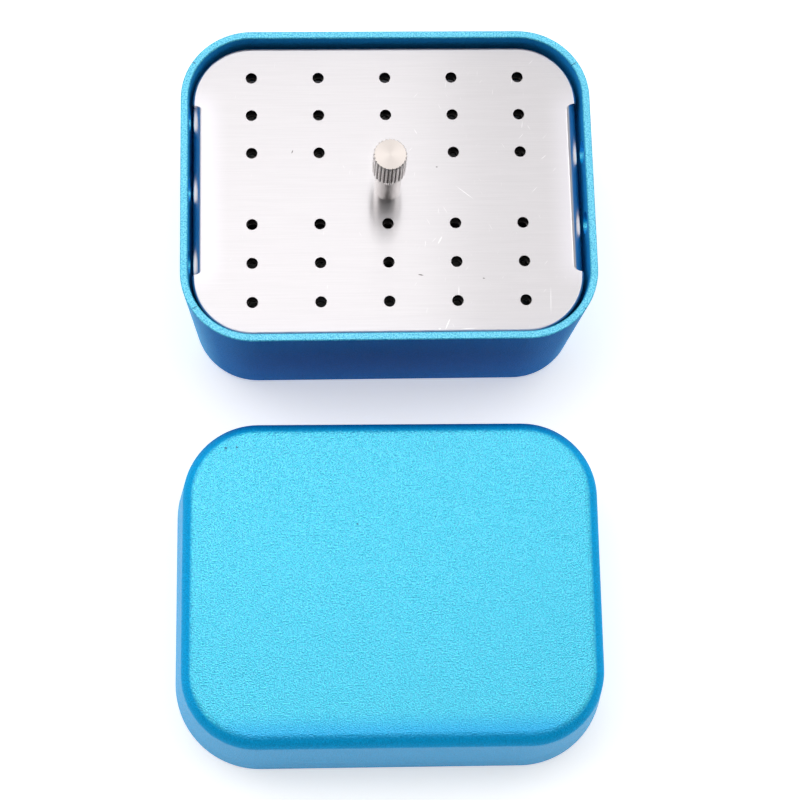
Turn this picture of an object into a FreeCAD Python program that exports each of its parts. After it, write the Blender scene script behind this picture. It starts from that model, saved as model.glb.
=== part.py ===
import FreeCAD, Part
import math
import os

import Sketcher

from FreeCAD import Rotation, Vector

# Dental bur holder: a drawn aluminium box with a loose folded tray inside, and the drawn lid lying mouth
# down in front of it. Millimetres, +Z up, +X to the right of someone who faces the front. The origin is the
# centre of the box's flat bottom, on the table.
SIZES = [
    ("box_length", 72.0, "outside length of the box at its rim, along X"),
    ("box_width", 56.8, "outside width of the box at its rim, along Y"),
    ("box_height", 32.0, "from the table to the rim"),
    ("box_corner", 12.5, "outside corner radius at the rim"),
    ("box_draft", 1.6, "lean of the box walls, in degrees; the rim is the widest place"),
    ("box_wall", 1.3, "sheet thickness of the box"),
    ("box_round", 2.0, "outside radius between wall and bottom"),
    ("vent_bore", 4.0, "diameter of a steam hole"),
    ("vent_pitch", 13.2, "distance between neighbouring steam holes"),
    ("vent_drop", 3.2, "from the rim down to the centre of a steam hole"),
    ("rim_break", 0.15, "chamfer on the cut edges of box and lid"),
    ("lid_height", 21.0, "from the lid's mouth to the top of its crown"),
    ("lid_wall", 1.25, "sheet thickness of the lid"),
    ("lid_draft", 6.9, "flare of the lid walls towards the mouth, in degrees"),
    ("lid_crown", 2.5, "outside radius between the lid's wall and its flat top"),
    ("lid_end_slack", 1.1, "play of the lid's mouth round the rim, at each end"),
    ("lid_side_slack", 0.65, "play of the lid's mouth round the rim, at front and back"),
    ("lid_corner_slack", 1.55, "how much the mouth's inside corner radius exceeds the rim's"),
    ("lid_gap", 9.5, "from the front of the box to the lid that lies before it"),
    ("lid_aside", -0.3, "sideways place of the lid where it lies"),
    ("lid_turn", -0.4, "turn of the lid where it lies, in degrees"),
    ("tray_sheet", 1.0, "sheet thickness of the tray"),
    ("plate_drop", 2.0, "from the rim down to the tray's top face"),
    ("plate_round", 0.5, "radius on the plate's upper edge"),
    ("tray_end_gap", 0.73, "from the tray's plate to the box wall at each end, if it were centred"),
    ("tray_side_gap", 0.73, "from the tray's plate to the box wall at front and back, if it were centred"),
    ("tray_corner_ease", 0.8, "how much smaller the plate's corner radius is than the box's inside one"),
    ("tray_forward", 0.3, "how far the loose tray stands off centre, towards the front"),
    ("tray_aside", 0.1, "how far the loose tray stands off centre, to the left"),
    ("leg_breadth", 31.2, "breadth of a bent leg, along Y"),
    ("leg_inset", 0.1, "from the plate's end in to the outer face of the bend"),
    ("leg_lean", 2.2, "lean of the legs under the plate, in degrees"),
    ("bend_round", 1.9, "outside radius of the bend"),
    ("bend_end_round", 1.7, "radius on the plate where a bend runs out, at each end of it"),
    ("bend_nick", 0.5, "diameter of the relief nick at each end of a bend"),
    ("bur_bore", 2.0, "diameter of a bur hole"),
    ("bur_pitch", 11.8, "distance between bur columns, along X"),
    ("bur_row", 7.05, "distance between bur rows, along Y"),
    ("bur_aisle", 13.15, "distance between the two middle rows, either side of the post"),
    ("guide_sheet", 0.8, "sheet thickness of the guide sheet and the rest plate"),
    ("guide_gap", 1.5, "height of the ring between plate and guide sheet"),
    ("guide_setback", 1.25, "from the plate's edge in to the edge of the guide sheet and the rest plate"),
    ("guide_fit", 0.1, "play between those two sheets and the legs, at each end"),
    ("rest_gap", 8.0, "height of the tube between guide sheet and rest plate"),
    ("head_bore", 5.7, "diameter over the knurl of the post's head"),
    ("head_height", 7.2, "height of the knurled head"),
    ("head_break", 0.2, "chamfer on the edges of the head"),
    ("flute_depth", 0.3, "depth of a knurl flute"),
    ("flute_mouth", 0.5, "breadth of a knurl flute where it opens"),
    ("neck_bore", 4.6, "diameter of the post under its head"),
    ("neck_height", 8.8, "from the plate to the head"),
    ("stud_bore", 3.0, "diameter of the stud under the plate"),
    ("stud_fit", 0.05, "radial play of the stud in what it passes through"),
    ("stud_tail", 0.6, "how far the stud stands out of the nut"),
    ("ring_bore", 6.0, "outside diameter of the spacers"),
    ("washer_bore", 7.0, "outside diameter of the washer"),
    ("washer_sheet", 0.5, "thickness of the washer"),
    ("nut_span", 5.5, "across the flats of the nut"),
    ("nut_height", 2.4, "height of the nut"),
]

BUR_COLUMNS = 5
BUR_ROWS_PER_SIDE = 3
KNURL_FLUTES = 26
LEFT_VENT_COUNT = 3
RIGHT_VENT_COUNT = 2

ON_AXIS = 1e-9
SAME_LEVEL = 1e-4

# Places and sizes that follow from the sheet. Heights in the tray are measured from its top face.
LID_MOUTH_LENGTH = "dims.box_length + 2 * dims.lid_wall + 2 * dims.lid_end_slack"
LID_MOUTH_WIDTH = "dims.box_width + 2 * dims.lid_wall + 2 * dims.lid_side_slack"
LID_MOUTH_CORNER = "dims.box_corner + dims.lid_wall + dims.lid_corner_slack"
PLATE_LENGTH = "dims.box_length - 2 * dims.box_wall - 2 * dims.tray_end_gap"
PLATE_WIDTH = "dims.box_width - 2 * dims.box_wall - 2 * dims.tray_side_gap"
PLATE_CORNER = "dims.box_corner - dims.box_wall - dims.tray_corner_ease"
SHEET_WIDTH = f"{PLATE_WIDTH} - 2 * dims.guide_setback"
SHEET_CORNER = f"{PLATE_CORNER} - dims.guide_setback"
PLATE_TOP = "dims.box_height - dims.plate_drop"
LEG_DEPTH = f"{PLATE_TOP} - dims.box_wall"
BEND_CENTRE = f"({PLATE_LENGTH}) / 2 - dims.leg_inset - dims.bend_round"
FOOT_EDGE = (f"{BEND_CENTRE} + dims.bend_round / cos(dims.leg_lean * 1 deg)"
             f" - ({LEG_DEPTH} - dims.bend_round) * tan(dims.leg_lean * 1 deg)")
GUIDE_TOP = "-(dims.tray_sheet + dims.guide_gap)"
REST_TOP = f"{GUIDE_TOP} - dims.guide_sheet - dims.rest_gap"
WASHER_TOP = f"{REST_TOP} - dims.guide_sheet"
NUT_TOP = f"{WASHER_TOP} - dims.washer_sheet"
STUD_END = f"{NUT_TOP} - dims.nut_height - dims.stud_tail"
CLEAR_BORE = "dims.stud_bore + 2 * dims.stud_fit"

doc = FreeCAD.newDocument("bur_holder")
dims = doc.addObject("Spreadsheet::Sheet", "dims")
for row, (alias, value, meaning) in enumerate(SIZES, start=1):
    dims.set(f"A{row}", meaning)
    dims.set(f"B{row}", str(value))
    dims.setAlias(f"B{row}", alias)
doc.recompute()


def number(expression):
    """The present value of an expression on the sheet."""
    return float(dims.evalExpression(expression))


def new_body(label):
    body = doc.addObject("PartDesign::Body", label)
    body.Label = label
    return body


def seat(item, x="0", y="0", z="0"):
    """Bind where a sub-part stands to expressions."""
    item.setExpression("Placement.Base.x", x)
    item.setExpression("Placement.Base.y", y)
    item.setExpression("Placement.Base.z", z)


def seat_in_tray(item, z="0"):
    """Stand a piece of the tray at a height counted from the tray's top face."""
    seat(item, x="-dims.tray_aside", y="-dims.tray_forward", z=f"{PLATE_TOP} + ({z})")


def new_sketch(body, name, plane, rise=None):
    """A sketch on one of the body's own origin planes, lifted along its normal where rise is given."""
    sketch = body.newObject("Sketcher::SketchObject", name)
    face = next(f for f in body.Origin.OriginFeatures if f.Role == plane)
    sketch.AttachmentSupport = [(face, "")]
    sketch.MapMode = "FlatFace"
    if rise is not None:
        sketch.setExpression("AttachmentOffset.Base.z", rise)
    return sketch


def bind(sketch, constraint, expression):
    """Add a dimension and tie it to an expression."""
    index = sketch.addConstraint(constraint)
    sketch.setExpression(f"Constraints[{index}]", expression)


def pin_along(sketch, kind, geometry, point, expression):
    """Hold one coordinate of a point, written so that the dimension itself is never negative."""
    value = number(expression)
    if abs(value) < ON_AXIS:
        axis = -2 if kind == "DistanceX" else -1
        sketch.addConstraint(Sketcher.Constraint("PointOnObject", geometry, point, axis))
    elif value > 0:
        bind(sketch, Sketcher.Constraint(kind, -1, 1, geometry, point, value), expression)
    else:
        bind(sketch, Sketcher.Constraint(kind, geometry, point, -1, 1, -value), f"-({expression})")


def pin_point(sketch, geometry, point, x, y):
    pin_along(sketch, "DistanceX", geometry, point, x)
    pin_along(sketch, "DistanceY", geometry, point, y)


def draw_circle(sketch, x, y, diameter):
    radius = number(diameter) / 2
    index = sketch.addGeometry(Part.Circle(Vector(number(x), number(y), 0), Vector(0, 0, 1), radius))
    bind(sketch, Sketcher.Constraint("Diameter", index, 2 * radius), diameter)
    pin_point(sketch, index, 3, x, y)


def draw_polygon(sketch, corners):
    """A closed outline of straight lines, each corner held by two expressions."""
    places = [Vector(number(x), number(y), 0) for x, y in corners]
    for start, end in zip(places, places[1:] + places[:1]):
        sketch.addGeometry(Part.LineSegment(start, end))
    for index, (x, y) in enumerate(corners):
        previous = (index - 1) % len(corners)
        sketch.addConstraint(Sketcher.Constraint("Coincident", previous, 2, index, 1))
        pin_point(sketch, index, 1, x, y)


def draw_rounded_rectangle(sketch, length, width, radius, centre_x="0", centre_y="0"):
    """A rectangle with equal round corners, drawn anticlockwise."""
    r = number(radius)
    reach_x, reach_y = number(length) / 2 - r, number(width) / 2 - r
    middle = Vector(number(centre_x), number(centre_y), 0)
    signs = [(1, 1), (-1, 1), (-1, -1), (1, -1)]
    for quarter, (sx, sy) in enumerate(signs):
        centre = middle + Vector(sx * reach_x, sy * reach_y, 0)
        circle = Part.Circle(centre, Vector(0, 0, 1), r)
        sketch.addGeometry(Part.ArcOfCircle(circle, quarter * math.pi / 2, (quarter + 1) * math.pi / 2))
    for quarter, (sx, sy) in enumerate(signs):
        nx, ny = signs[(quarter + 1) % 4]
        out = quarter * math.pi / 2 + math.pi / 2
        step = Vector(r * math.cos(out), r * math.sin(out), 0)
        start = middle + Vector(sx * reach_x, sy * reach_y, 0) + step
        end = middle + Vector(nx * reach_x, ny * reach_y, 0) + step
        sketch.addGeometry(Part.LineSegment(start, end))
    for quarter in range(4):
        line = 4 + quarter
        sketch.addConstraint(Sketcher.Constraint("Tangent", quarter, 2, line, 1))
        sketch.addConstraint(Sketcher.Constraint("Tangent", line, 2, (quarter + 1) % 4, 1))
        sketch.addConstraint(Sketcher.Constraint("Vertical" if quarter % 2 else "Horizontal", line))
    for quarter in range(1, 4):
        sketch.addConstraint(Sketcher.Constraint("Equal", 0, quarter))
    bind(sketch, Sketcher.Constraint("Radius", 0, r), radius)
    pin_along(sketch, "DistanceY", 0, 3, f"{centre_y} + ({width}) / 2 - ({radius})")
    pin_along(sketch, "DistanceY", 2, 3, f"{centre_y} - (({width}) / 2 - ({radius}))")
    pin_along(sketch, "DistanceX", 0, 3, f"{centre_x} + ({length}) / 2 - ({radius})")
    pin_along(sketch, "DistanceX", 1, 3, f"{centre_x} - (({length}) / 2 - ({radius}))")


def pad(body, sketch, name, length, reverse=False, midplane=False, taper=None):
    feature = body.newObject("PartDesign::Pad", name)
    feature.Profile = sketch
    feature.Reversed = reverse
    feature.Midplane = midplane
    feature.setExpression("Length", length)
    if taper is not None:
        feature.setExpression("TaperAngle", taper)
    doc.recompute()
    return feature


def pocket(body, sketch, name, length=None, reverse=False, taper=None):
    """Cut a sketch away, to a length or right through, and make sure that something went."""
    before = body.Shape.Volume
    feature = body.newObject("PartDesign::Pocket", name)
    feature.Profile = sketch
    feature.Reversed = reverse
    if length is None:
        feature.Type = "ThroughAll"
    else:
        feature.setExpression("Length", length)
    if taper is not None:
        feature.setExpression("TaperAngle", taper)
    doc.recompute()
    if not feature.Shape.Volume < before:
        raise RuntimeError(f"{name} cuts nothing")
    return feature


def edges_on_level(shape, level):
    """Names of the edges that lie wholly at one height."""
    names = []
    for index, edge in enumerate(shape.Edges, start=1):
        box = edge.BoundBox
        if abs(box.ZMin - level) < SAME_LEVEL and abs(box.ZMax - level) < SAME_LEVEL:
            names.append(f"Edge{index}")
    return names


def dress(body, kind, name, base, edges, size_name, size):
    """A fillet or chamfer on named edges of the last feature."""
    feature = body.newObject(kind, name)
    feature.Base = (base, edges)
    feature.setExpression(size_name, size)
    doc.recompute()
    return feature


def drawn_shell(label, outline, height, draft, wall, crown, mouth_up):
    """A cup drawn from sheet: a rounded mouth, walls that lean in, a round at the closed end, open inside.

    The outline is drawn at the mouth. A box has its mouth up at its full height and a lid has it down at 0.
    """
    length, width, corner = outline
    mouth = height if mouth_up else "0"
    body = new_body(label)
    rim = new_sketch(body, f"{label}_outline", "XY_Plane", mouth)
    draw_rounded_rectangle(rim, length, width, corner)
    solid = pad(body, rim, f"{label}_solid", height, reverse=mouth_up, taper=f"-{draft}")
    closed = 0.0 if mouth_up else number(height)
    rounded = dress(body, "PartDesign::Fillet", f"{label}_outer_round", solid,
                    edges_on_level(solid.Shape, closed), "Radius", crown)
    hollow = new_sketch(body, f"{label}_hollow", "XY_Plane", mouth)
    draw_rounded_rectangle(hollow, f"{length} - 2 * {wall}", f"{width} - 2 * {wall}", f"{corner} - {wall}")
    cavity = pocket(body, hollow, f"{label}_cavity", f"{height} - {wall}", reverse=not mouth_up,
                    taper=f"-{draft}")
    floor = number(wall) if mouth_up else number(f"{height} - {wall}")
    inner = dress(body, "PartDesign::Fillet", f"{label}_inner_round", cavity,
                  edges_on_level(cavity.Shape, floor), "Radius", f"{crown} - {wall}")
    dress(body, "PartDesign::Chamfer", f"{label}_rim_break", inner,
          edges_on_level(inner.Shape, number(mouth)), "Size", "dims.rim_break")
    return body


def row_of_vents(body, name, count, to_the_right):
    """Steam holes through one end wall, spread evenly about its middle."""
    first = new_sketch(body, f"{name}_sketch", "YZ_Plane")
    draw_circle(first, f"-dims.vent_pitch * {count - 1} / 2", "dims.box_height - dims.vent_drop",
                "dims.vent_bore")
    cut = pocket(body, first, f"{name}_cut", reverse=to_the_right)
    pattern = body.newObject("PartDesign::LinearPattern", name)
    pattern.Originals = [cut]
    pattern.Direction = (first, ["H_Axis"])
    pattern.Mode = "Spacing"
    pattern.setExpression("Offset", "dims.vent_pitch")
    pattern.Occurrences = count
    body.Tip = pattern
    doc.recompute()


def make_box():
    outline = ("dims.box_length", "dims.box_width", "dims.box_corner")
    body = drawn_shell("base_shell", outline, "dims.box_height", "dims.box_draft", "dims.box_wall",
                       "dims.box_round", mouth_up=True)
    row_of_vents(body, "vents_left", LEFT_VENT_COUNT, to_the_right=False)
    row_of_vents(body, "vents_right", RIGHT_VENT_COUNT, to_the_right=True)


def make_lid():
    outline = (f"({LID_MOUTH_LENGTH})", f"({LID_MOUTH_WIDTH})", f"({LID_MOUTH_CORNER})")
    body = drawn_shell("lid_shell", outline, "dims.lid_height", "dims.lid_draft", "dims.lid_wall",
                       "dims.lid_crown", mouth_up=False)
    body.Placement.Rotation = Rotation(Vector(0, 0, 1), number("dims.lid_turn"))
    body.setExpression("Placement.Rotation.Angle", "dims.lid_turn * 1 deg")
    ahead = f"-(dims.box_width / 2 + dims.lid_gap + ({LID_MOUTH_WIDTH}) / 2)"
    seat(body, x="dims.lid_aside", y=ahead)


def bur_holes(body, name):
    """The grid of bur holes: two groups of rows, with an aisle between them where the post stands."""
    first = new_sketch(body, f"{name}_sketch", "XY_Plane")
    left = f"-dims.bur_pitch * {BUR_COLUMNS - 1} / 2"
    nearest = "dims.bur_aisle / 2"
    draw_circle(first, left, nearest, "dims.bur_bore")
    draw_circle(first, left, f"-({nearest} + dims.bur_row * {BUR_ROWS_PER_SIDE - 1})", "dims.bur_bore")
    cut = pocket(body, first, f"{name}_cut")
    pattern = body.newObject("PartDesign::LinearPattern", name)
    pattern.Originals = [cut]
    pattern.Direction = (first, ["H_Axis"])
    pattern.Mode = "Spacing"
    pattern.setExpression("Offset", "dims.bur_pitch")
    pattern.Occurrences = BUR_COLUMNS
    pattern.Direction2 = (first, ["V_Axis"])
    pattern.Mode2 = "Spacing"
    pattern.setExpression("Offset2", "dims.bur_row")
    pattern.Occurrences2 = BUR_ROWS_PER_SIDE
    # The second direction needs its list of own spacings filled; a negative one means the common offset.
    pattern.Spacings2 = [-1.0] * (BUR_ROWS_PER_SIDE - 1)
    body.Tip = pattern
    doc.recompute()


def centre_bore(body, name, diameter):
    hole = new_sketch(body, f"{name}_sketch", "XY_Plane")
    draw_circle(hole, "0", "0", diameter)
    pocket(body, hole, name)


def draw_leg(sketch):
    """The section of one bent leg, from the end of the flat plate round the bend and down to the floor."""
    r, sheet, depth = number("dims.bend_round"), number("dims.tray_sheet"), number(LEG_DEPTH)
    centre = Vector(number(BEND_CENTRE), -r, 0)
    lean = math.radians(number("dims.leg_lean"))
    outward = Vector(math.cos(lean), -math.sin(lean), 0)
    down = Vector(-math.sin(lean), -math.cos(lean), 0)
    outer_top = centre + outward * r
    inner_top = centre + outward * (r - sheet)
    outer_foot = outer_top + down * ((depth + outer_top.y) / math.cos(lean))
    inner_foot = inner_top + down * ((depth + inner_top.y) / math.cos(lean))
    up = Vector(0, 0, 1)
    outer_bend = sketch.addGeometry(Part.ArcOfCircle(Part.Circle(centre, up, r), -lean, math.pi / 2))
    inner_circle = Part.Circle(centre, up, r - sheet)
    inner_bend = sketch.addGeometry(Part.ArcOfCircle(inner_circle, -lean, math.pi / 2))
    outer_face = sketch.addGeometry(Part.LineSegment(outer_top, outer_foot))
    foot = sketch.addGeometry(Part.LineSegment(outer_foot, inner_foot))
    inner_face = sketch.addGeometry(Part.LineSegment(inner_foot, inner_top))
    plate_end = Part.LineSegment(centre + Vector(0, r - sheet, 0), centre + Vector(0, r, 0))
    joint = sketch.addGeometry(plate_end)
    for constraint in (
        Sketcher.Constraint("Tangent", outer_bend, 1, outer_face, 1),
        Sketcher.Constraint("Coincident", outer_face, 2, foot, 1),
        Sketcher.Constraint("Coincident", foot, 2, inner_face, 1),
        Sketcher.Constraint("Tangent", inner_face, 2, inner_bend, 1),
        Sketcher.Constraint("Coincident", inner_bend, 2, joint, 1),
        Sketcher.Constraint("Coincident", joint, 2, outer_bend, 2),
        Sketcher.Constraint("Coincident", outer_bend, 3, inner_bend, 3),
        Sketcher.Constraint("Vertical", joint),
        Sketcher.Constraint("Vertical", joint, 2, outer_bend, 3),
        Sketcher.Constraint("Horizontal", foot),
        Sketcher.Constraint("Parallel", outer_face, inner_face),
    ):
        sketch.addConstraint(constraint)
    pin_point(sketch, outer_bend, 3, BEND_CENTRE, "-dims.bend_round")
    bind(sketch, Sketcher.Constraint("Radius", outer_bend, r), "dims.bend_round")
    bind(sketch, Sketcher.Constraint("Radius", inner_bend, r - sheet), "dims.bend_round - dims.tray_sheet")
    pin_along(sketch, "DistanceY", foot, 1, f"-({LEG_DEPTH})")
    pin_along(sketch, "DistanceX", foot, 1, FOOT_EDGE)


def make_tray():
    """The folded bridge: a plate with rounded corners, and a leg bent down at each end.

    The plate is cut out for each bend, with round inner corners in which the bend runs out.
    """
    body = new_body("bur_tray")
    outline = new_sketch(body, "plate_outline", "XY_Plane")
    draw_rounded_rectangle(outline, PLATE_LENGTH, PLATE_WIDTH, PLATE_CORNER)
    plate = pad(body, outline, "plate", "dims.tray_sheet", reverse=True)
    dress(body, "PartDesign::Fillet", "plate_edge_round", plate, edges_on_level(plate.Shape, 0.0),
          "Radius", "dims.plate_round")
    recess = new_sketch(body, "bend_recess_outline", "XY_Plane")
    plate_end = f"({PLATE_LENGTH}) / 2"
    draw_rounded_rectangle(recess, f"2 * ({plate_end} - ({BEND_CENTRE}))", "dims.leg_breadth",
                           "dims.bend_end_round", centre_x=plate_end)
    cut_out = pocket(body, recess, "bend_recess")
    section = new_sketch(body, "leg_section", "XZ_Plane")
    draw_leg(section)
    leg = pad(body, section, "leg", "dims.leg_breadth", midplane=True)
    ends = new_sketch(body, "bend_nick_outline", "XY_Plane")
    draw_circle(ends, plate_end, "dims.leg_breadth / 2", "dims.bend_nick")
    draw_circle(ends, plate_end, "-dims.leg_breadth / 2", "dims.bend_nick")
    nicks = pocket(body, ends, "bend_nicks", "dims.bend_round")
    both = body.newObject("PartDesign::Mirrored", "both_ends")
    both.Originals = [cut_out, leg, nicks]
    both.MirrorPlane = (outline, ["V_Axis"])
    body.Tip = both
    doc.recompute()
    bur_holes(body, "plate_holes")
    centre_bore(body, "plate_bore", CLEAR_BORE)
    seat_in_tray(body)


def inner_sheet(label, top):
    """A flat sheet between the legs, held on the stud; its ends stop against the legs so it can't turn."""
    body = new_body(label)
    outline = new_sketch(body, f"{label}_outline", "XY_Plane")
    bottom = f"dims.guide_sheet - ({top})"
    leg_inside = (f"{BEND_CENTRE} + (dims.bend_round - dims.tray_sheet) / cos(dims.leg_lean * 1 deg)"
                  f" - ({bottom} - dims.bend_round) * tan(dims.leg_lean * 1 deg)")
    draw_rounded_rectangle(outline, f"2 * ({leg_inside} - dims.guide_fit)", SHEET_WIDTH, SHEET_CORNER)
    pad(body, outline, f"{label}_sheet", "dims.guide_sheet", reverse=True)
    centre_bore(body, f"{label}_bore", CLEAR_BORE)
    seat_in_tray(body, top)
    return body


def make_post():
    """The lifting post, turned in one piece: knurled head, neck and stud."""
    body = new_body("lifting_post")
    section = new_sketch(body, "post_section", "XZ_Plane")
    top = "dims.neck_height + dims.head_height"
    draw_polygon(section, [
        ("0", STUD_END),
        ("dims.stud_bore / 2", STUD_END),
        ("dims.stud_bore / 2", "0"),
        ("dims.neck_bore / 2", "0"),
        ("dims.neck_bore / 2", "dims.neck_height"),
        ("dims.head_bore / 2 - dims.head_break", "dims.neck_height"),
        ("dims.head_bore / 2", "dims.neck_height + dims.head_break"),
        ("dims.head_bore / 2", f"{top} - dims.head_break"),
        ("dims.head_bore / 2 - dims.head_break", top),
        ("0", top),
    ])
    turned = body.newObject("PartDesign::Revolution", "turned")
    turned.Profile = section
    turned.ReferenceAxis = (section, ["V_Axis"])
    doc.recompute()
    flute = new_sketch(body, "flute_section", "XY_Plane", top)
    draw_polygon(flute, [
        ("dims.head_bore / 2 - dims.flute_depth", "0"),
        ("dims.head_bore / 2 + dims.flute_depth", "-dims.flute_mouth"),
        ("dims.head_bore / 2 + dims.flute_depth", "dims.flute_mouth"),
    ])
    cut = pocket(body, flute, "flute", "dims.head_height")
    knurl = body.newObject("PartDesign::PolarPattern", "knurl")
    knurl.Originals = [cut]
    knurl.Axis = (flute, ["N_Axis"])
    knurl.Angle = 360
    knurl.Occurrences = KNURL_FLUTES
    body.Tip = knurl
    seat_in_tray(body)


def spacer(label, outer, height, top):
    """A plain turned ring or tube on the stud."""
    body = new_body(label)
    section = new_sketch(body, f"{label}_section", "XY_Plane")
    draw_circle(section, "0", "0", outer)
    draw_circle(section, "0", "0", CLEAR_BORE)
    pad(body, section, f"{label}_length", height, reverse=True)
    seat_in_tray(body, top)


def make_nut():
    """A hexagon nut: a six-sided prism with the stud's bore through it."""
    prism = doc.addObject("Part::Prism", "nut_prism")
    prism.Polygon = 6
    prism.setExpression("Circumradius", "dims.nut_span / sqrt(3)")
    prism.setExpression("Height", "dims.nut_height")
    bore = doc.addObject("Part::Cylinder", "nut_bore")
    bore.setExpression("Radius", f"({CLEAR_BORE}) / 2")
    bore.setExpression("Height", "dims.nut_height")
    nut = doc.addObject("Part::Cut", "retaining_nut")
    nut.Label = "retaining_nut"
    nut.Base = prism
    nut.Tool = bore
    seat_in_tray(nut, f"{NUT_TOP} - dims.nut_height")
    return nut


make_box()
make_lid()
make_tray()
make_post()
spacer("spacer_ring", "dims.ring_bore", "dims.guide_gap", "-dims.tray_sheet")
bur_holes(inner_sheet("guide_sheet", GUIDE_TOP), "guide_holes")
spacer("spacer_tube", "dims.ring_bore", "dims.rest_gap", f"{GUIDE_TOP} - dims.guide_sheet")
inner_sheet("rest_plate", REST_TOP)
spacer("washer", "dims.washer_bore", "dims.washer_sheet", WASHER_TOP)
nut = make_nut()
doc.recompute()

sub_parts = [item for item in doc.Objects if item.isDerivedFrom("PartDesign::Body")] + [nut]
for item in doc.Objects:
    if "Invalid" in item.State or "Error" in item.State:
        raise RuntimeError(f"{item.Label} failed: {item.State}")
for item in sub_parts:
    if item.Shape.isNull() or not item.Shape.isValid():
        raise RuntimeError(f"{item.Label} has no valid shape")

os.makedirs("parts", exist_ok=True)
for item in sub_parts:
    item.Shape.exportStep(f"parts/{item.Label}.step")
    box = item.Shape.BoundBox
    print(f"{item.Label}: {len(item.Shape.Solids)} solid, {item.Shape.Volume:.1f} mm3,"
          f" X {box.XMin:.2f} {box.XMax:.2f}, Y {box.YMin:.2f} {box.YMax:.2f},"
          f" Z {box.ZMin:.2f} {box.ZMax:.2f}")
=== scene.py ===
"""Looks of a dental bur holder: a blue anodised box with a loose perforated tray, and its drawn lid.

The box stands behind with the tray and its lifting post in it. The lid lies mouth down in front of it.
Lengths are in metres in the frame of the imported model: +X right, +Y away, +Z up, the table at Z = 0.
"""

import math

import bpy
from mathutils import Matrix, Vector

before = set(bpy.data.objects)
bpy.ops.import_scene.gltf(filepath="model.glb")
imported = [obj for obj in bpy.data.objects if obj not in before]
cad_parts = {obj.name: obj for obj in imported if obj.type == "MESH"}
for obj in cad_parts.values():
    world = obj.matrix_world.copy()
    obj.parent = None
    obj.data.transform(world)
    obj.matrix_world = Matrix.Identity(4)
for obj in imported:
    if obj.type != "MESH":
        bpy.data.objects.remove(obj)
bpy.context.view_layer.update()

# Box and lid
# Two shells drawn from aluminium sheet, glass-bead blasted and then anodised blue. Their rims were cut and
# broken after drawing. The lid goes over the rim of the box, and here it lies in front of it.

MM = 0.001


def linear(hex_colour):
    """An sRGB hex colour as linear RGBA."""
    channels = [int(hex_colour[i:i + 2], 16) / 255 for i in (1, 3, 5)]
    return [c / 12.92 if c <= 0.04045 else ((c + 0.055) / 1.055) ** 2.4 for c in channels] + [1.0]


def new_material(name):
    """An empty material with its output node: returns the material, its node tree and the output."""
    material = bpy.data.materials.new(name)
    material.use_nodes = True
    tree = material.node_tree
    tree.nodes.clear()
    return material, tree, tree.nodes.new("ShaderNodeOutputMaterial")


def add_node(tree, kind, inputs=None, **settings):
    """Add one node. Settings are its own properties; inputs are values, or sockets to link from."""
    made = tree.nodes.new(kind)
    for name, value in settings.items():
        setattr(made, name, value)
    for key, value in (inputs or {}).items():
        if isinstance(value, bpy.types.NodeSocket):
            tree.links.new(value, made.inputs[key])
        else:
            made.inputs[key].default_value = value
    return made


def dress(names, material):
    """Give CAD nodes one material."""
    for name in names:
        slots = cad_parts[name].data.materials
        slots.clear()
        slots.append(material)


def extent(name):
    """The lowest and the highest corner of a CAD node's box, at rest."""
    points = [vertex.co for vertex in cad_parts[name].data.vertices]
    return [[pick(point[axis] for point in points) for axis in range(3)] for pick in (min, max)]


def marks(tree, place, level, spots):
    """A mask that is 1 inside short marks on a face at one height.

    Each mark has x, y, its turn in degrees, its length and its breadth, in mm.
    """
    mask = 0.0
    for x, y, turn, length, breadth in spots:
        own = add_node(tree, "ShaderNodeMapping", {
            "Vector": place, "Location": (x * MM, y * MM, level), "Rotation": (0, 0, math.radians(turn)),
            "Scale": (length / 2 * MM, breadth / 2 * MM, MARK_DEPTH)}, vector_type="TEXTURE").outputs[0]
        far = add_node(tree, "ShaderNodeVectorMath", {0: own}, operation="LENGTH").outputs["Value"]
        hit = add_node(tree, "ShaderNodeMapRange", {"Value": far, 1: 1.0, 2: 0.5}).outputs[0]
        mask = add_node(tree, "ShaderNodeMath", {0: mask, 1: hit}, operation="MAXIMUM").outputs[0]
    return mask


# Blasting leaves a fine orange-peel grain, about 0.1 mm across. It is drawn coarser and deeper, so that it
# shows. The rim's band of painted light reaches a little further down than its chamfer of 0.15 mm. The lid's
# top has painted shade along its front edge, a deeper blue, and that band is measured back from the edge.
BLAST_GRAIN = 0.25 * MM
BLAST_DEPTH = 0.13 * MM
RIM_BAND = 0.25 * MM
RIM_BLUR = 0.05 * MM
FRONT_BAND_START = 9.14 * MM
FRONT_BAND_FULL = 3.14 * MM
MARK_DEPTH = 0.5 * MM
RIM_NICKS = [(-33.7, 22.5, -30, 1.1, 0.26), (33.3, 21.9, 33, 1.7, 0.26), (-33.5, -22.4, 27, 1.4, 0.26),
             (33.6, -23.3, -27, 1.2, 0.26)]
LID_PITS = [(-28.7, -44.5, 0, 0.55, 0.55), (-26.8, -44.4, 0, 0.5, 0.5), (-6.1, -58.2, 0, 0.45, 0.4)]

box_low, box_high = extent("base_shell")
lid_low, lid_high = extent("lid_shell")
gap_middle = (box_low[1] + lid_high[1]) / 2
rim_foot = box_high[2] - RIM_BAND

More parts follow.
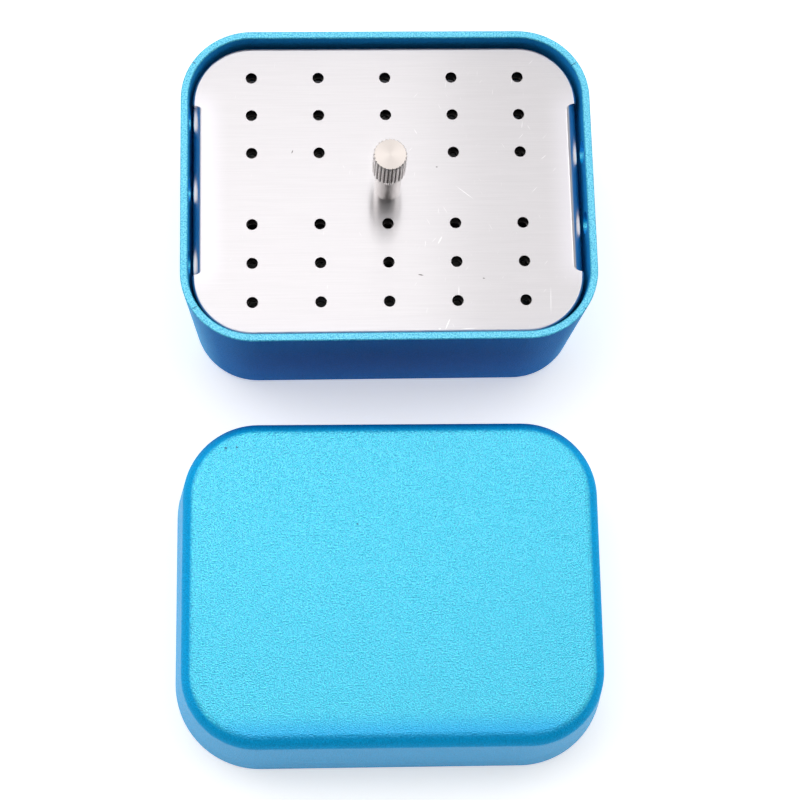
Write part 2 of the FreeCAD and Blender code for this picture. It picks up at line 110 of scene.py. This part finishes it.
blasted, tree, output = new_material("bead_blasted_blue_anodised_aluminium")
place = add_node(tree, "ShaderNodeTexCoord").outputs["Object"]
grain = add_node(tree, "ShaderNodeTexNoise", {
    "Vector": place, "Scale": 1 / BLAST_GRAIN, "Detail": 1.5, "Roughness": 0.5}).outputs["Fac"]
bump = add_node(tree, "ShaderNodeBump", {
    "Height": grain, "Distance": BLAST_DEPTH, "Strength": 1.0}).outputs[0]
contrast = add_node(tree, "ShaderNodeMapRange", {"Value": grain, 1: 0.33, 2: 0.67}).outputs[0]
facing = add_node(tree, "ShaderNodeNewGeometry").outputs["Normal"]
normal = add_node(tree, "ShaderNodeSeparateXYZ", {0: facing}).outputs
spot = add_node(tree, "ShaderNodeSeparateXYZ", {0: place}).outputs

# Masks: level faces, the box as against the lid, the inside of the box, the walls that stand in each other's
# shade in the gap, the band of painted shade along the lid's front edge, the rim's band of painted light, and
# the dents of use.
flat = add_node(tree, "ShaderNodeMapRange", {"Value": normal["Z"], 1: 0.90, 2: 0.98}).outputs[0]
of_box = add_node(tree, "ShaderNodeMath", {0: spot["Y"], 1: gap_middle}, operation="GREATER_THAN").outputs[0]
level_place = add_node(tree, "ShaderNodeVectorMath", {0: place, 1: (1, 1, 0)},
                       operation="MULTIPLY").outputs[0]
outwardness = add_node(tree, "ShaderNodeVectorMath", {0: facing, 1: level_place},
                       operation="DOT_PRODUCT").outputs["Value"]
inward = add_node(tree, "ShaderNodeMath", {0: outwardness, 1: 0.0}, operation="LESS_THAN").outputs[0]
in_box = add_node(tree, "ShaderNodeMath", {0: inward, 1: of_box}, operation="MULTIPLY").outputs[0]
towards = add_node(tree, "ShaderNodeMapRange", {"Value": of_box, 3: 1.0, 4: -1.0}).outputs[0]
gapward = add_node(tree, "ShaderNodeMath", {0: normal["Y"], 1: towards}, operation="MULTIPLY").outputs[0]
shade = add_node(tree, "ShaderNodeMapRange", {"Value": gapward, 1: 0.30, 2: 0.85}).outputs[0]
# The band of painted shade along the lid's front edge.
front_shade = add_node(tree, "ShaderNodeMapRange", {
    "Value": spot["Y"], 1: lid_low[1] + FRONT_BAND_START, 2: lid_low[1] + FRONT_BAND_FULL, 3: 0.0, 4: 0.8},
    interpolation_type="SMOOTHSTEP").outputs[0]
# The band at the top of the rim, which is painted palest as painted light.
rim = add_node(tree, "ShaderNodeMapRange", {
    "Value": spot["Z"], 1: rim_foot - RIM_BLUR, 2: rim_foot + RIM_BLUR}).outputs[0]
nicks = marks(tree, place, box_high[2], RIM_NICKS)
pits = marks(tree, place, lid_high[2], LID_PITS)
dented = add_node(tree, "ShaderNodeMath", {0: nicks, 1: pits}, operation="MAXIMUM").outputs[0]

# The dye is pale cyan on level faces. Elsewhere light and shade are painted into it: the drawn walls are
# bluer as painted shade, the walls inside the box brighter as painted light, the walls in the gap deepest
# blue as painted shade, and the rim palest as painted light, where it catches more light. Each has a colour
# in the grain's hollows and one on its crests.
DYES_AND_PAINTED_LIGHT = {"level": ("#24b0de", "#42eaff"), "wall": ("#0ea6e0", "#12bef6"), "gap_painted_shade": ("#0270b4", "#0480cc"),
        "inside": ("#24a4f4", "#2cb8ff"), "rim": ("#30b0da", "#78e2f6")}
dye_and_painted_light = {}
for where, (hollow, crest) in DYES_AND_PAINTED_LIGHT.items():
    dye_and_painted_light[where] = add_node(tree, "ShaderNodeMix", {"Factor": contrast, 6: linear(hollow), 7: linear(crest)},
                          data_type="RGBA").outputs[2]
# Outer walls that face the gap are painted deepest blue, as painted shade; the others get the bluer painted
# shade of walls.
outside_painted_shade = add_node(tree, "ShaderNodeMix", {"Factor": shade, 6: dye_and_painted_light["wall"], 7: dye_and_painted_light["gap_painted_shade"]},
                   data_type="RGBA").outputs[2]
# Walls inside the box are painted brighter, as painted light.
walls = add_node(tree, "ShaderNodeMix", {"Factor": in_box, 6: outside_painted_shade, 7: dye_and_painted_light["inside"]},
                 data_type="RGBA").outputs[2]
# The band along the lid's front edge is painted deeper blue, as painted shade.
crown = add_node(tree, "ShaderNodeMix", {"Factor": front_shade, 6: dye_and_painted_light["level"], 7: linear("#0aa8ee")},
                 data_type="RGBA").outputs[2]
# Level faces take the pale dye, and walls the dye with painted light and shade.
film_with_painted_shade = add_node(tree, "ShaderNodeMix", {"Factor": flat, 6: walls, 7: crown}, data_type="RGBA").outputs[2]
# The rim is painted palest, as painted light.
dyed_with_painted_light = add_node(tree, "ShaderNodeMix", {"Factor": rim, 6: film_with_painted_shade, 7: dye_and_painted_light["rim"]},
                data_type="RGBA").outputs[2]
marked = add_node(tree, "ShaderNodeMix", {"Factor": dented, 6: dyed_with_painted_light, 7: linear("#06769c")},
                  data_type="RGBA").outputs[2]

# The dyed film is clear at its surface, so highlights on it are nearly white: broad and soft on level faces,
# faint on walls, and fainter still in the gap and on rounded edges.
wall_gloss = add_node(tree, "ShaderNodeMapRange", {"Value": shade, 3: 0.35, 4: 0.04}).outputs[0]
round_gloss = add_node(tree, "ShaderNodeMapRange", {
    "Value": normal["Z"], 1: 0.15, 2: 0.35, 3: wall_gloss, 4: 0.04}).outputs[0]
crown_gloss = add_node(tree, "ShaderNodeMapRange", {"Value": front_shade, 3: 1.0, 4: 0.3}).outputs[0]
gloss = add_node(tree, "ShaderNodeMapRange", {"Value": flat, 3: round_gloss, 4: crown_gloss}).outputs[0]
metal_share = add_node(tree, "ShaderNodeMapRange", {"Value": flat, 3: 0.7, 4: 1.0}).outputs[0]
spread = add_node(tree, "ShaderNodeMapRange", {"Value": flat, 3: 0.74, 4: 0.56}).outputs[0]
finish = add_node(tree, "ShaderNodeBsdfPrincipled", {
    "Base Color": marked, "Metallic": metal_share, "Roughness": spread, "Normal": bump,
    "Specular IOR Level": 0.0, "Coat Weight": gloss, "Coat Roughness": 0.24, "Coat IOR": 1.6,
    "Coat Normal": bump})
tree.links.new(finish.outputs[0], output.inputs["Surface"])
dress(["base_shell", "lid_shell"], blasted)

# Tray
# A bridge of stainless sheet with punched holes, its two ends bent down as legs. It is brushed along its
# length, which draws fine lines along X and spreads a highlight across them.

# Brushed lines are about 0.05 mm apart. They are drawn coarser, so that they show. Walls within the reach of
# the holes are hole walls, and those further out belong to the legs.
BRUSH_LINE = 0.18 * MM
BRUSH_RUN = 9 * MM
BRUSH_DEPTH = 0.004 * MM
SCRATCH_GAP = 0.24 * MM
SCRATCH_RUN = 3 * MM
SCRATCH_TURNS = (-62, -97, 48)
LEAST_USED = -28 * MM
MOST_USED = 14 * MM
BEND_HIGHLIGHT_START = 27.5 * MM
BEND_HIGHLIGHT_FULL = 33.5 * MM
BEND_HIGHLIGHT_SIDE = 20 * MM
BEND_HIGHLIGHT_SIDE_FULL = 13 * MM
HOLES_REACH = 30 * MM
SCRATCHES = [(13.5, -1.3, -39, 4.4, 0.13), (8.9, -10.0, 62, 1.8, 0.24), (27.8, -21.1, 88, 5.4, 0.13),
             (11.9, -19.4, 88, 2.4, 0.14), (9.8, -25.2, 66, 2.4, 0.22), (8.4, -26.0, 0, 0.5, 0.3),
             (13.6, -26.0, 2, 3.0, 0.12), (22.5, 20.0, 84, 2.2, 0.12), (27.6, 5.2, 40, 1.4, 0.12)]
SPECKS = [(-16.6, 6.5, 70, 0.8, 0.2), (5.4, -16.3, -10, 1.1, 0.24), (16.3, -17.0, -8, 0.5, 0.2),
          (8.7, 3.5, 0, 0.45, 0.22)]

plate_top = extent("bur_tray")[1][2]

brushed, tree, output = new_material("brushed_stainless_sheet")
place = add_node(tree, "ShaderNodeTexCoord").outputs["Object"]
spot = add_node(tree, "ShaderNodeSeparateXYZ", {0: place}).outputs
stretched = add_node(tree, "ShaderNodeMapping", {
    "Vector": place, "Scale": (1 / BRUSH_RUN, 1 / BRUSH_LINE, 1 / BRUSH_LINE)}).outputs[0]
lines = add_node(tree, "ShaderNodeTexNoise", {
    "Vector": stretched, "Scale": 1.0, "Detail": 2.0}).outputs["Fac"]
bump = add_node(tree, "ShaderNodeBump", {
    "Height": lines, "Distance": BRUSH_DEPTH, "Strength": 1.0}).outputs[0]
steel = add_node(tree, "ShaderNodeMix", {"Factor": lines, 6: linear("#bbb8ba"), 7: linear("#c6c3c5")},
                 data_type="RGBA").outputs[2]

# Use has left thin pale scratches at three slants, more of them towards the right. Each slant reads its own
# part of the noise.
used = add_node(tree, "ShaderNodeMapRange", {
    "Value": spot["X"], 1: LEAST_USED, 2: MOST_USED, 3: 0.0, 4: 0.045}).outputs[0]
for turn in SCRATCH_TURNS:
    slanted = add_node(tree, "ShaderNodeMapping", {
        "Vector": place, "Location": (0.1 * turn, 0.3, 0), "Rotation": (0, 0, math.radians(turn)),
        "Scale": (SCRATCH_RUN, SCRATCH_GAP, SCRATCH_GAP)}, vector_type="TEXTURE").outputs[0]
    streaks = add_node(tree, "ShaderNodeTexNoise", {
        "Vector": slanted, "Scale": 1.0, "Detail": 1.0}).outputs["Fac"]
    eased = add_node(tree, "ShaderNodeMath", {0: streaks, 1: used}).outputs[0]
    scratch = add_node(tree, "ShaderNodeMapRange", {"Value": eased, 1: 0.80, 2: 0.86}).outputs[0]
    steel = add_node(tree, "ShaderNodeMix", {"Factor": scratch, 6: steel, 7: linear("#d8d6d7")},
                     data_type="RGBA").outputs[2]

# Over them lie longer scratches and dark specks. A highlight is painted beside the bends, where the sheet
# starts to curve down, and the walls of the punched holes are painted dark as shade.
scratched = marks(tree, place, plate_top, SCRATCHES)
specked = marks(tree, place, plate_top, SPECKS)
along = add_node(tree, "ShaderNodeMath", {0: spot["X"]}, operation="ABSOLUTE").outputs[0]
across = add_node(tree, "ShaderNodeMath", {0: spot["Y"]}, operation="ABSOLUTE").outputs[0]
# A painted highlight beside each bend, where the sheet starts to curve down.
near_bend = add_node(tree, "ShaderNodeMapRange", {"Value": along, 1: BEND_HIGHLIGHT_START, 2: BEND_HIGHLIGHT_FULL},
                     interpolation_type="SMOOTHSTEP").outputs[0]
beside_bend = add_node(tree, "ShaderNodeMapRange", {"Value": across, 1: BEND_HIGHLIGHT_SIDE, 2: BEND_HIGHLIGHT_SIDE_FULL},
                       interpolation_type="SMOOTHSTEP").outputs[0]
painted_bend_highlight = add_node(tree, "ShaderNodeMath", {0: near_bend, 1: beside_bend},
                     operation="MULTIPLY").outputs[0]
facing = add_node(tree, "ShaderNodeNewGeometry").outputs["Normal"]
upward = add_node(tree, "ShaderNodeSeparateXYZ", {0: facing}).outputs["Z"]
standing = add_node(tree, "ShaderNodeMath", {0: upward, 1: 0.4}, operation="LESS_THAN").outputs[0]
# The walls of the punched holes, painted dark as shade.
among_holes = add_node(tree, "ShaderNodeMath", {0: along, 1: HOLES_REACH},
                       operation="LESS_THAN").outputs[0]
hole_wall = add_node(tree, "ShaderNodeMath", {0: standing, 1: among_holes},
                     operation="MULTIPLY").outputs[0]
for mask, colour in [(scratched, "#e2e0e1"), (specked, "#4a4644"), (painted_bend_highlight, "#d0cdd2"),
                     (hole_wall, "#4a4644")]:
    steel = add_node(tree, "ShaderNodeMix", {"Factor": mask, 6: steel, 7: linear(colour)},
                     data_type="RGBA").outputs[2]

over = add_node(tree, "ShaderNodeCombineXYZ", {"Y": 1.0}).outputs[0]
finish = add_node(tree, "ShaderNodeBsdfPrincipled", {
    "Base Color": steel, "Metallic": 1.0, "Roughness": 0.28, "Anisotropic": 1.0, "Tangent": over,
    "Normal": bump})
tree.links.new(finish.outputs[0], output.inputs["Surface"])
dress(["bur_tray"], brushed)

# Guide sheet and rest plate
# Two thinner stainless sheets under the tray's plate, clamped on the post: one keeps the burs upright, and
# they stand on the other. Neither is brushed. They are a darker grey than the tray, in faint clouds.

CLOUD = 6 * MM

darker_sheet, tree, output = new_material("darker_grey_stainless_sheet")
place = add_node(tree, "ShaderNodeTexCoord").outputs["Object"]
clouds = add_node(tree, "ShaderNodeTexNoise", {
    "Vector": place, "Scale": 1 / CLOUD, "Detail": 4.0}).outputs["Fac"]
steel = add_node(tree, "ShaderNodeMix", {"Factor": clouds, 6: linear("#918d8a"), 7: linear("#b0aca8")},
                 data_type="RGBA").outputs[2]
finish = add_node(tree, "ShaderNodeBsdfPrincipled", {"Base Color": steel, "Metallic": 1.0, "Roughness": 0.5})
tree.links.new(finish.outputs[0], output.inputs["Surface"])
dress(["guide_sheet", "rest_plate"], darker_sheet)

# Lifting post, spacers, washer and nut
# Turned stainless. The post has a straight-knurled head to hold it by, and its stud goes down through plate,
# ring, guide sheet, tube, rest plate and washer to the nut that clamps them.

# The feed of the tool leaves rings about 0.1 mm apart. They are drawn coarser, so that they show. The flutes
# are darkened from a little below the crests of the knurl, and two margins keep it to the knurled wall.
TURNING_PITCH = 0.22 * MM
TURNING_DEPTH = 0.004 * MM
FLUTE_DEPTH = 0.3 * MM
FLUTE_DARK_START = 0.11 * MM
FLUTE_MARGIN = 0.1 * MM
TOP_MARGIN = 0.05 * MM
EDGE_SOFTENING = 0.08 * MM

post_low, post_high = extent("lifting_post")
post_axis = ((post_low[0] + post_high[0]) / 2, (post_low[1] + post_high[1]) / 2, 0)
head_radius = (post_high[1] - post_low[1]) / 2
flute_floor = head_radius - FLUTE_DEPTH

turned, tree, output = new_material("turned_stainless")
place = add_node(tree, "ShaderNodeTexCoord").outputs["Object"]
off_axis = add_node(tree, "ShaderNodeVectorMath", {0: place, 1: post_axis}, operation="SUBTRACT").outputs[0]
outward = add_node(tree, "ShaderNodeVectorMath", {0: off_axis, 1: (1, 1, 0)}, operation="MULTIPLY").outputs[0]
radius = add_node(tree, "ShaderNodeVectorMath", {0: outward}, operation="LENGTH").outputs["Value"]
height = add_node(tree, "ShaderNodeSeparateXYZ", {0: place}).outputs["Z"]
spiral = add_node(tree, "ShaderNodeCombineXYZ", {"X": radius, "Z": height}).outputs[0]
rings = add_node(tree, "ShaderNodeTexNoise", {
    "Vector": spiral, "Scale": 1 / TURNING_PITCH, "Detail": 1.0}).outputs["Fac"]
softened = add_node(tree, "ShaderNodeBevel", {"Radius": EDGE_SOFTENING}, samples=4).outputs[0]
bump = add_node(tree, "ShaderNodeBump", {
    "Height": rings, "Distance": TURNING_DEPTH, "Strength": 1.0, "Normal": softened}).outputs[0]

# The flutes of the knurl are darker the deeper they go, below the head's flat top.
deep = add_node(tree, "ShaderNodeMapRange", {
    "Value": radius, 1: head_radius - FLUTE_DARK_START, 2: flute_floor}).outputs[0]
beside = add_node(tree, "ShaderNodeMath", {0: radius, 1: flute_floor - FLUTE_MARGIN},
                  operation="GREATER_THAN").outputs[0]
below_top = add_node(tree, "ShaderNodeMath", {0: height, 1: post_high[2] - TOP_MARGIN},
                     operation="LESS_THAN").outputs[0]
on_knurl = add_node(tree, "ShaderNodeMath", {0: beside, 1: below_top}, operation="MULTIPLY").outputs[0]
flute_darkening = add_node(tree, "ShaderNodeMath", {0: deep, 1: on_knurl}, operation="MULTIPLY").outputs[0]

# The rings go round the axis, so a flat end shows a brighter and a darker pair of sectors. It is rougher
# than the sides, which shine.
facing = add_node(tree, "ShaderNodeNewGeometry").outputs["Normal"]
around = add_node(tree, "ShaderNodeVectorMath", {0: (0, 0, 1), 1: outward},
                  operation="CROSS_PRODUCT").outputs[0]
across = add_node(tree, "ShaderNodeVectorMath", {0: around, 1: facing}, operation="CROSS_PRODUCT").outputs[0]
upward = add_node(tree, "ShaderNodeSeparateXYZ", {0: facing}).outputs["Z"]
rough = add_node(tree, "ShaderNodeMapRange", {"Value": upward, 1: 0.5, 2: 0.9, 3: 0.2, 4: 0.55}).outputs[0]
# Painted light: the sides are painted paler than the flat ends.
clean_with_painted_light = add_node(tree, "ShaderNodeMix", {"Factor": upward, 6: linear("#eee9e6"), 7: linear("#d2cac5")},
                 data_type="RGBA").outputs[2]
metal = add_node(tree, "ShaderNodeMix", {"Factor": flute_darkening, 6: clean_with_painted_light, 7: linear("#2c2421")},
                 data_type="RGBA").outputs[2]
finish = add_node(tree, "ShaderNodeBsdfPrincipled", {
    "Base Color": metal, "Metallic": 1.0, "Roughness": rough, "Anisotropic": 0.4, "Tangent": across,
    "Normal": bump})
tree.links.new(finish.outputs[0], output.inputs["Surface"])
dress(["lifting_post", "spacer_ring", "spacer_tube", "washer", "retaining_nut"], turned)

# Table
# A plain white laminate top, matt, and drawn far wider than a real one, so that its edge lies far off.
# Seen straight or in a mirror it is a little brighter than its own shade, which takes the open table to white
# and keeps the shadows by box and lid. Further out, where the lamps reach less, that share grows.

TABLE_HALF = 20.0
SHARE_NEAR = 0.3
SHARE_FAR = 1.5

table = bpy.data.meshes.new("table_top")
table.from_pydata([(-TABLE_HALF, -TABLE_HALF, 0), (TABLE_HALF, -TABLE_HALF, 0),
                   (TABLE_HALF, TABLE_HALF, 0), (-TABLE_HALF, TABLE_HALF, 0)], [], [(0, 1, 2, 3)])
white, tree, output = new_material("white_table_laminate")
paint = add_node(tree, "ShaderNodeBsdfDiffuse", {"Color": linear("#f7f7f7")}).outputs[0]
place = add_node(tree, "ShaderNodeTexCoord").outputs["Object"]
away = add_node(tree, "ShaderNodeVectorMath", {0: place}, operation="LENGTH").outputs["Value"]
share = add_node(tree, "ShaderNodeMapRange", {
    "Value": away, 1: SHARE_NEAR, 2: SHARE_FAR, 3: 0.45, 4: 0.95}).outputs[0]
glow = add_node(tree, "ShaderNodeEmission", {"Strength": share}).outputs[0]
lit = add_node(tree, "ShaderNodeAddShader", {0: paint, 1: glow}).outputs[0]
ray = add_node(tree, "ShaderNodeLightPath").outputs
seen = add_node(tree, "ShaderNodeMath", {0: ray["Is Camera Ray"], 1: ray["Is Glossy Ray"]}).outputs[0]
looked_at = add_node(tree, "ShaderNodeMath", {0: seen, 1: ray["Is Transmission Ray"]}).outputs[0]
finish = add_node(tree, "ShaderNodeMixShader", {0: looked_at, 1: paint, 2: lit})
tree.links.new(finish.outputs[0], output.inputs["Surface"])
table.materials.append(white)
table_top = bpy.data.objects.new("table_top", table)
bpy.context.scene.collection.objects.link(table_top)

# Light
# One wide softbox overhead, a little behind and to the left, with a hotter core, and a narrow one at the
# right. The room is dim, darker in front than at its sides, and darkest in a patch high up by the camera.


def softbox(name, place, width, length, radiance):
    """A level rectangular lamp that shines down. Radiance is what a mirror shows of it, 1 being white."""
    lamp = bpy.data.lights.new(name, "AREA")
    lamp.shape = "RECTANGLE"
    lamp.size = width
    lamp.size_y = length
    lamp.energy = radiance * math.pi * width * length
    made = bpy.data.objects.new(name, lamp)
    made.location = place
    bpy.context.scene.collection.objects.link(made)


softbox("overhead_softbox", (-0.115, 0.158, 0.70), 0.85, 0.385, 2.25)
softbox("softbox_core", (-0.13, 0.175, 0.69), 0.38, 0.25, 1.2)
softbox("softbox_right", (0.25, 0.17, 0.69), 0.13, 0.32, 1.5)

PATCH_DIRECTION = (0.10, -0.21, 0.97)

world = bpy.data.worlds.new("dim_room")
world.use_nodes = True
tree = world.node_tree
direction = add_node(tree, "ShaderNodeTexCoord").outputs["Generated"]
parts = add_node(tree, "ShaderNodeSeparateXYZ", {0: direction}).outputs
sideways = add_node(tree, "ShaderNodeMath", {0: parts["X"]}, operation="ABSOLUTE").outputs[0]
sides = add_node(tree, "ShaderNodeMapRange", {
    "Value": sideways, 1: 0.25, 2: 0.85, 3: 0.45, 4: 1.0}).outputs[0]
front = add_node(tree, "ShaderNodeMapRange", {
    "Value": parts["Y"], 1: -0.5, 2: -0.05, 3: 0.2, 4: 1.0}).outputs[0]
from_patch = add_node(tree, "ShaderNodeVectorMath", {0: direction, 1: PATCH_DIRECTION},
                       operation="DISTANCE").outputs["Value"]
patch = add_node(tree, "ShaderNodeMapRange", {
    "Value": from_patch, 1: 0.09, 2: 0.19, 3: 0.1, 4: 1.0}).outputs[0]
dimmed = add_node(tree, "ShaderNodeMath", {0: sides, 1: front}, operation="MULTIPLY").outputs[0]
room = add_node(tree, "ShaderNodeMath", {0: dimmed, 1: patch}, operation="MULTIPLY").outputs[0]
tree.links.new(room, tree.nodes["Background"].inputs["Strength"])
tree.nodes["Background"].inputs["Color"].default_value = (1, 1, 1, 1)
bpy.context.scene.world = world

# Camera
# It looks down on the holder from in front. It stands where the places of the bur holes and the outlines of
# box and lid agree with the photograph.

LOOK_AT = Vector((2.686, -31.213, 0)) * MM
DISTANCE = 348.49 * MM
AZIMUTH = math.radians(-10.903)
ELEVATION = math.radians(76.055)
ROLL = math.radians(9.872)
SENSOR_WIDTH = 36
FOCAL_LENGTH = 84.04

back = Vector((math.sin(AZIMUTH) * math.cos(ELEVATION), -math.cos(AZIMUTH) * math.cos(ELEVATION),
               math.sin(ELEVATION)))
horizon = Vector((0, 0, 1)).cross(back).normalized()
upright = back.cross(horizon)
right = math.cos(ROLL) * horizon + math.sin(ROLL) * upright
up = math.cos(ROLL) * upright - math.sin(ROLL) * horizon
lens = bpy.data.cameras.new("camera")
lens.sensor_width = SENSOR_WIDTH
lens.lens = FOCAL_LENGTH
lens.clip_start = 10 * MM
lens.clip_end = 2 * TABLE_HALF
camera = bpy.data.objects.new("camera", lens)
camera.matrix_world = Matrix.Translation(LOOK_AT + back * DISTANCE) @ Matrix(
    (right, up, back)).transposed().to_4x4()
bpy.context.scene.collection.objects.link(camera)
bpy.context.scene.camera = camera
bpy.context.scene.view_settings.view_transform = "Standard"
